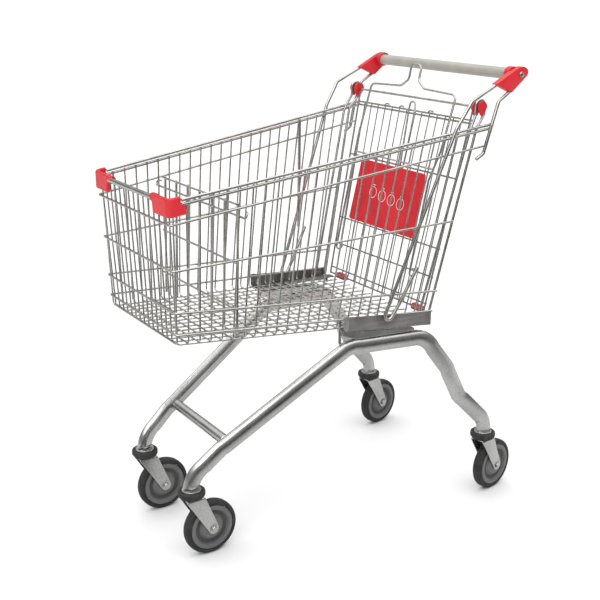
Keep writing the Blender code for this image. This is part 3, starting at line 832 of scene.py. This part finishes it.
class CART_OT_wheels(bpy.types.Operator):
    """Turn each wheel's hub and tyre, and fit its axle bolt"""

    bl_idname = "cart.wheels"
    bl_label = "Wheels"

    def execute(self, context):
        for place in PLACES:
            _, axle, _, across = caster_axes(place)
            turned_piece(f"{place}_wheel_hub", both_ways(HUB_OUTLINE), axle, across, 56,
                         "grey_wheel_plastic", f"{place}_hub")
            # Thin dark rings set in the hubs' recesses, which are painted shade.
            body = bmesh.new()
            for way in (-1, 1):
                turned(body, [(r, way * h) for r, h in RECESS_SHADE_OUTLINE], axle, across, 56)
            piece(f"{place}_wheel_recess_shade_ring", body, "recess_shade_plastic",
                  rides_on=f"wheel_{place}")
            half = [*((axle.z - drop, h) for drop, h in TREAD_OUTLINE), (0.0518, 0.0119)]
            turned_piece(f"{place}_wheel_tyre", both_ways(half), axle, across, 72,
                         "black_rubber", f"{place}_tyre")
            body = bmesh.new()
            turned(body, ((0, -0.0200), (0.0040, -0.0200), (0.0040, 0.0200), (0, 0.0200)),
                   axle, across, 20, closed=False)
            for way in (-1, 1):
                head = across * way
                turned(body, ((0, 0.0196), (0.0078, 0.0196), (0.0078, 0.0204), (0, 0.0204)),
                       axle, head, 28, closed=False)
                turn = head.to_track_quat("Z", "Y").to_matrix().to_4x4()
                bmesh.ops.create_cone(
                    body, cap_ends=True, segments=6, radius1=0.0066, radius2=0.0060,
                    depth=0.0031, matrix=Matrix.Translation(axle + head * 0.02195) @ turn,
                )
            piece(f"{place}_axle_bolt", body, "galvanised_steel", f"{place}_axle", edge=0.0004)
        return {"FINISHED"}


# ---- handle


def support_y(x, z):
    """A handle support runs outside the rim, then leans in a little towards the handle."""
    if z < 0.900:
        return wall_y(x, z) + 0.0122
    return 0.2518 - 0.06 * (z - 0.900)


class CART_OT_supports(bpy.types.Operator):
    """Bend the two wires on each side that hold up the handle"""

    bl_idname = "cart.supports"
    bl_label = "Handle supports"

    def execute(self, context):
        wire = context.scene.cart_sizes.support
        for label, side in SIDES:
            for end, corners in (("front", FRONT_SUPPORT), ("rear", REAR_SUPPORT)):
                body = bmesh.new()
                line = [(x, side * support_y(x, z), z) for x, z in corners]
                bar(body, line, wire, 0.010 if end == "rear" else 0.009, 14, steps=9)
                piece(f"handle_wire_{end}_{label}", body, "bright_zinc_wire",
                      f"handle_support_{end}_{label}")
        body = bmesh.new()
        post = [(x, -wall_y(x, z) - 0.0015, z) for x, z in ((-0.1085, 0.8690), (-0.0965, 0.6050))]
        bar(body, post, wire * 0.95, sides=14)
        piece("right_wall_post", body, "bright_zinc_wire", rides_on="cart")
        return {"FINISHED"}


class CART_OT_handle(bpy.types.Operator):
    """Make the handle's bar, its end caps and their bolts"""

    bl_idname = "cart.handle"
    bl_label = "Handle"

    def execute(self, context):
        low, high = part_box("handle_tube")
        centre = (low + high) / 2
        radius = (high.z - low.z) / 2
        outline = ((radius - 0.0018, low.y), (radius, low.y), (radius, high.y),
                   (radius - 0.0018, high.y))
        turned_piece("handle_bar", outline, centre, (0, 1, 0), 48, "pale_grey_handle",
                     "handle_tube")
        for label, side in SIDES:
            self.cap(label, side, centre)
            self.bolt(label, side, centre)
        return {"FINISHED"}

    def cap(self, label, side, centre):
        """Flat cheek outside the bar's end, round at the rear, with a collar round the bar."""
        low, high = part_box(f"handle_cap_{label}")
        inner, outer = sorted((abs(low.y), abs(high.y)))
        plate = outer - 0.0150
        body = bmesh.new()
        block(body, [(x, side * plate, z) for x, z in CAP_OUTLINE], (0, side * 0.0150, 0))
        round_end = [
            edge for edge in body.edges
            if all(vert.co.x < -0.355 for vert in edge.verts)
            and abs(edge.verts[0].co.y - edge.verts[1].co.y) > 0.01
        ]
        round_off(body, round_end, 0.0100, 6)
        outer_rim = [
            edge for edge in body.edges
            if all(abs(vert.co.y - side * outer) < 1e-5 for vert in edge.verts)
            and max(vert.co.z - 0.55 * vert.co.x for vert in edge.verts) > 1.150
        ]
        round_off(body, outer_rim, 0.0050, 3)
        piece(f"handle_end_{label}", body, "red_plastic", f"handle_cap_{label}", edge=0.0010)
        outline = ((0.0127, inner), (0.0150, inner), (0.0160, inner + 0.0012),
                   (0.0162, plate + 0.0010), (0.0127, plate + 0.0010))
        turned_piece(f"handle_collar_{label}", outline, centre, (0, side, 0), 48, "red_plastic",
                     rides_on="cart")

    def bolt(self, label, side, centre):
        low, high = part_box(f"handle_bolt_{label}")
        end = max(abs(low.y), abs(high.y))
        foot = Vector((centre.x - 0.008, 0, centre.z))
        outline = ((0, 0.2420), (0.0030, 0.2420), (0.0030, end - 0.0046), (0.0064, end - 0.0046),
                   (0.0066, end - 0.0030), (0.0054, end - 0.0010), (0.0032, end - 0.0002),
                   (0.0026, end - 0.0016), (0, end - 0.0018))
        turned_piece(f"handle_screw_{label}", outline, foot, (0, side, 0), 28,
                     "bright_zinc_wire", f"handle_bolt_{label}", closed=False)


# ---- gate and seat


class CART_OT_hinges(bpy.types.Operator):
    """Fit the gate's red bushings, the wire arches over them and the floor stops"""

    bl_idname = "cart.hinges"
    bl_label = "Gate bushings, arches and stops"

    def execute(self, context):
        sizes = context.scene.cart_sizes
        for label, side in SIDES:
            pin = middle(f"hinge_bushing_{label}")
            pin.y = 0
            self.bushing(label, side, pin)
            self.stay(label, side, pin, sizes.stay)
            low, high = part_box(f"gate_stop_{label}")
            body = bmesh.new()
            outline = [(x, low.y, z) for x, z in (
                (low.x, low.z), (high.x, low.z), (high.x, high.z - 0.004),
                (high.x - 0.004, high.z), (low.x, high.z))]
            block(body, outline, (0, high.y - low.y, 0))
            piece(f"floor_stop_{label}", body, "red_plastic", f"gate_stop_{label}",
                  edge=sizes.edge)
        return {"FINISHED"}

    def bushing(self, label, side, pin):
        """Two drop-shaped cheeks on a round core, one on each side of the stay's loop."""
        body = bmesh.new()
        turned(body, ((0.0036, 0.2125), (0.0078, 0.2125), (0.0078, 0.2350), (0.0036, 0.2350)),
               pin, (0, side, 0), 32)
        for start, wide, grow in ((0.2110, 0.0082, 1.0), (0.2318, 0.0056, 0.90)):
            top = bmesh.ops.create_circle(
                body, cap_ends=True, segments=28, radius=0.0135 * grow,
                matrix=Matrix.Translation((pin.x, side * start, pin.z + 0.0016))
                @ Matrix.Rotation(math.radians(90), 4, "X"),
            )["verts"]
            for vert in top:
                drop = pin.z - vert.co.z
                if drop > 0:
                    vert.co.z -= drop * 0.75 * grow
                    vert.co.x += (pin.x + 0.0030 - vert.co.x) * min(0.5, drop * 45)
            cheek = {face for vert in top for face in vert.link_faces}
            made = bmesh.ops.extrude_face_region(body, geom=list(cheek), use_keep_orig=True)
            bmesh.ops.translate(body, vec=(0, side * wide, 0), verts=verts_of(made["geom"]))
        piece(f"gate_bushing_{label}", body, "red_plastic", f"hinge_bushing_{label}",
              edge=0.0016, crease=50.0)

    def stay(self, label, side, pin, wire):
        """One long hairpin: up the rear of the side wall, over the bushing and down again."""
        body = bmesh.new()
        y = middle(f"hinge_arch_{label}").y
        feet = [(x, side * (wall_y(x, z) - 0.0020), z) for x, z in STAY_FEET]
        feet[-1] = (feet[-1][0], feet[-1][1] - side * 0.0120, feet[-1][2])
        arch = [(pin.x + step, y, z) for step, z in (
            (0.0120, 0.9180), (0.0120, 0.9479), (-0.0120, 0.9479), (-0.0120, 0.9180))]
        line = (*feet[:2], *arch, *feet[2:])
        bar(body, line, wire, 0.0105, 12, steps=8)
        piece(f"bushing_stay_{label}", body, "bright_zinc_wire", f"hinge_arch_{label}")


class CART_OT_gate(bpy.types.Operator):
    """Weld up the rear gate and its hinge wire"""

    bl_idname = "cart.gate"
    bl_label = "Gate"

    def execute(self, context):
        sizes = context.scene.cart_sizes
        body = bmesh.new()

        def half(z):
            return GATE_HALF + GATE_SPREAD * min(1.0, (z - 0.478) / 0.425)

        def at(k, z, forward=0.0):
            return (gate_x(z) + forward, k * half(z), z)

        count = sizes.gate_wires
        for j in range(count):
            k = 2 * j / (count - 1) - 1
            edge_wire = j in (0, count - 1)
            top = 0.9295 if edge_wire else 0.9025
            thick = sizes.gate_cross if edge_wire else sizes.gate
            bar(body, (at(k, 0.479), at(k, top)), thick, sides=8)
        for z in GATE_ROWS:
            bar(body, (at(-1.0, z, -0.0032), at(1.0, z, -0.0032)), sizes.gate_cross, sides=8)
        for y in GATE_LOOPS:
            low_arc = [(gate_x(z) - 0.0032, y + shift, z) for shift, z in (
                (-0.0120, 0.9015), (-0.0060, 0.9085), (0.0060, 0.9085), (0.0120, 0.9015))]
            bar(body, low_arc, 0.0036, 0.0060, 8)
        hook = [(gate_x(z) - 0.0015, y, z) for y, z in GATE_HOOK]
        bar(body, hook, 0.0046, 0.0078, 10, steps=8)
        piece("gate_grille", body, "bright_zinc_wire", "gate_panel")
        straight_bar("gate_hinge_rod", "gate_hinge_wire", "bright_zinc_wire", 14)
        return {"FINISHED"}


class CART_OT_seat(bpy.types.Operator):
    """Bend the folded seat's back frame and mould its plate"""

    bl_idname = "cart.seat"
    bl_label = "Child seat"

    def execute(self, context):
        right, left = SEAT_EYES
        outline = ((right, SEAT_HINGE_Z), (right + 0.002, 0.830), *HANGER,
                   *((-y, z) for y, z in reversed(HANGER)),
                   (left + 0.020, 0.830), (left, 0.765), (left, SEAT_HINGE_Z))
        line = [(gate_x(z) + (SEAT_GAP if z < 0.9 else HANGER_GAP), y, z) for y, z in outline]
        body = bmesh.new()
        bar(body, line, 0.0053, 0.013, 12, steps=8)
        x = gate_x(SEAT_RUNG_Z) + SEAT_GAP
        rung = [(x, y, SEAT_RUNG_Z) for y in (right + 0.002, left + 0.007)]
        bar(body, rung, 0.0045, sides=10)
        for y in SEAT_EYES:
            eye = Vector((gate_x(SEAT_HINGE_Z) + SEAT_GAP - 0.0085, y, SEAT_HINGE_Z))
            turned(body, [(0.0085 + 0.0022 * math.cos(a), 0.0022 * math.sin(a))
                          for a in (math.tau * i / 8 for i in range(8))], eye, (0, 1, 0), 20)
        piece("seat_back_frame", body, "bright_zinc_wire", "seat_back")
        self.plate()
        return {"FINISHED"}

    def plate(self):
        """Tapered plate just in front of the gate, with a row of plain printed rings."""
        low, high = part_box("seat_plate")
        slope = Vector((GATE_LEAN, 0, 1)).normalized()
        outward = Vector((slope.z, 0, -slope.x))
        foot = Vector((gate_x(low.z) + PLATE_GAP, 0, low.z))
        height = (high.z - low.z) / slope.z
        body = bmesh.new()
        points = [foot + Vector((0, y, 0)) + slope * h for y, h in (
            (low.y, 0), (high.y, 0), (high.y - PLATE_TAPER, height),
            (low.y + PLATE_TAPER, height))]
        block(body, points, outward * PLATE_THICK)
        corners = [e for e in body.edges
                   if abs((e.verts[0].co - e.verts[1].co).dot(outward)) > 0.002]
        round_off(body, corners, 0.006, 5)
        piece("seat_panel", body, "red_plastic", "seat_plate", edge=0.0009)
        body = bmesh.new()
        for i in range(4):
            centre = (foot + slope * (0.0780 - 0.0035 * i) + outward * PLATE_THICK
                      + Vector((0, -0.0640 + 0.0360 * i, 0)))
            ring = ((0.0125, -0.0001), (0.0125, 0.0002), (0.0138, 0.0002), (0.0138, -0.0001))
            turned(body, ring, centre, outward, 40)
            dash = ((-0.0050, 0.0170), (0.0050, 0.0170), (0.0050, 0.0188), (-0.0050, 0.0188))
            block(body, [centre + Vector((0, y, 0)) + slope * h - outward * 0.0001
                         for y, h in dash], outward * 0.0003)
        piece("seat_panel_marks", body, "pale_print", rides_on="seat_plate")


# ---- stage


def world_light(settings):
    """Soft light that is strong overhead and fades towards the horizon."""
    world = bpy.data.worlds.new("studio")
    bpy.context.scene.world = world
    world.use_nodes = True
    tree = world.node_tree
    tree.nodes.clear()
    add, join = tree.nodes.new, tree.links.new
    output = add("ShaderNodeOutputWorld")
    direction = add("ShaderNodeTexCoord")
    split = add("ShaderNodeSeparateXYZ")
    fade = preset(add("ShaderNodeMapRange"), from_min=0.34, from_max=0.78,
                  to_min=settings.horizon, to_max=settings.sky)
    fade.interpolation_type = "SMOOTHSTEP"
    light = add("ShaderNodeBackground")
    join(direction.outputs["Generated"], split.inputs["Vector"])
    join(split.outputs["Z"], fade.inputs["Value"])
    join(fade.outputs["Result"], light.inputs["Strength"])
    seen = preset(add("ShaderNodeBackground"), color=(1, 1, 1, 1), strength=1.0)
    path = add("ShaderNodeLightPath")
    choose = add("ShaderNodeMixShader")
    join(path.outputs["Is Camera Ray"], choose.inputs["Fac"])
    join(light.outputs["Background"], choose.inputs[1])
    join(seen.outputs["Background"], choose.inputs[2])
    join(choose.outputs["Shader"], output.inputs["Surface"])


def soft_lamp(name, place, target, width, watts):
    lamp = bpy.data.lights.new(name, "AREA")
    lamp.shape = "SQUARE"
    lamp.size = width
    lamp.energy = watts
    made = show(name, lamp)
    made.location = place
    made.rotation_euler = (Vector(target) - Vector(place)).to_track_quat("-Z", "Y").to_euler()


def floor_finish(shade, dark_side, bright_side):
    """Pale painted floor, mirrored in polished metal as darker where it is far and in front."""
    made = Finish("studio_floor", 0.0, 0.9)
    tone = made.noise(1.5, 3.0)
    made.paint(made.ramp(tone, ((0.3, toned(shade, 0.985)), (0.7, shade))))
    turned_place = preset(made.add("ShaderNodeMapping"), rotation=(0, 0, math.radians(33)))
    made.join(made.place, turned_place.inputs["Vector"])
    split_place = made.add("ShaderNodeSeparateXYZ")
    made.join(turned_place.outputs["Vector"], split_place.inputs["Vector"])
    fades = []
    for axis, start, end in (("X", 0.5, 1.9), ("Y", 1.05, 0.35)):
        fade = preset(made.add("ShaderNodeMapRange"), from_min=start, from_max=end,
                      to_min=dark_side, to_max=bright_side)
        made.join(split_place.outputs[axis], fade.inputs["Value"])
        fades.append(fade)
    brighter = made.add("ShaderNodeMath")
    brighter.operation = "MAXIMUM"
    for fade, socket in zip(fades, brighter.inputs):
        made.join(fade.outputs["Result"], socket)
    mirrored = made.add("ShaderNodeBsdfDiffuse")
    made.join(brighter.outputs["Value"], mirrored.inputs["Color"])
    path = made.add("ShaderNodeLightPath")
    choose = made.add("ShaderNodeMixShader")
    made.join(path.outputs["Is Glossy Ray"], choose.inputs["Fac"])
    made.join(made.shader.outputs["BSDF"], choose.inputs[1])
    made.join(mirrored.outputs["BSDF"], choose.inputs[2])
    output = next(node for node in made.tree.nodes if node.type == "OUTPUT_MATERIAL")
    made.join(choose.outputs["Shader"], output.inputs["Surface"])
    return bpy.data.materials["studio_floor"]


class CART_OT_stage(bpy.types.Operator):
    """Set the floor, the soft studio light and the camera"""

    bl_idname = "cart.stage"
    bl_label = "Stage"

    def execute(self, context):
        scene = context.scene
        settings = scene.cart_stage
        body = bmesh.new()
        bmesh.ops.create_grid(body, x_segments=8, y_segments=8, size=60.0)
        mesh = bpy.data.meshes.new("studio_floor")
        body.to_mesh(mesh)
        body.free()
        mesh.materials.append(floor_finish(
            scene.cart_colours.floor, settings.dark_side, settings.bright_side))
        show("studio_floor", mesh)
        world_light(settings)
        soft_lamp("soft_key", (2.6, 2.2, 3.0), (0, 0, 0.5), 2.2, settings.key)
        self.camera(scene, settings.lens)
        scene.view_settings.view_transform = "Standard"
        return {"FINISHED"}

    def camera(self, scene, lens):
        camera = bpy.data.cameras.new("camera")
        camera.sensor_width = 36.0
        camera.lens = lens
        camera.clip_start, camera.clip_end = 0.05, 200.0
        made = show("camera", camera)
        made.location = (1.2584, 1.8985, 1.2087)
        ahead = Vector((-0.5166, -0.8011, -0.3024))
        turn = ahead.to_track_quat("-Z", "Y").to_matrix()
        made.rotation_euler = (turn @ Matrix.Rotation(math.radians(0.075), 3, "Z")).to_euler()
        scene.camera = made


# ---- panel and run


BUILD_STEPS = (
    CART_OT_hoops, CART_OT_front_wires, CART_OT_rings, CART_OT_divider, CART_OT_corners,
    CART_OT_tubes, CART_OT_channels, CART_OT_casters, CART_OT_wheels, CART_OT_supports,
    CART_OT_handle, CART_OT_hinges, CART_OT_gate, CART_OT_seat, CART_OT_stage,
)


class CART_PT_panel(bpy.types.Panel):
    """Build steps and settings of the cart"""

    bl_idname = "CART_PT_panel"
    bl_label = "Shopping Cart"
    bl_space_type = "VIEW_3D"
    bl_region_type = "UI"
    bl_category = "Cart"

    def draw(self, context):
        layout = self.layout
        for step in BUILD_STEPS:
            layout.operator(step.bl_idname, text=step.bl_label)
        for group in (context.scene.cart_sizes, context.scene.cart_colours,
                      context.scene.cart_stage):
            box = layout.box()
            for name in group.bl_rna.properties.keys():
                if name not in ("rna_type", "name"):
                    box.prop(group, name)


GROUPS = (("cart_sizes", CartSizes), ("cart_colours", CartColours), ("cart_stage", StageSettings))


def register():
    for name, group in GROUPS:
        bpy.utils.register_class(group)
        setattr(bpy.types.Scene, name, bpy.props.PointerProperty(type=group))
    for step in (*BUILD_STEPS, CART_PT_panel):
        bpy.utils.register_class(step)


def unregister():
    for step in reversed((*BUILD_STEPS, CART_PT_panel)):
        bpy.utils.unregister_class(step)
    for name, group in reversed(GROUPS):
        delattr(bpy.types.Scene, name)
        bpy.utils.unregister_class(group)


def main():
    register()
    make_finishes(bpy.context.scene.cart_colours)
    for step in BUILD_STEPS:
        area, name = step.bl_idname.split(".")
        getattr(getattr(bpy.ops, area), name)()


if __name__ == "__main__":
    main()
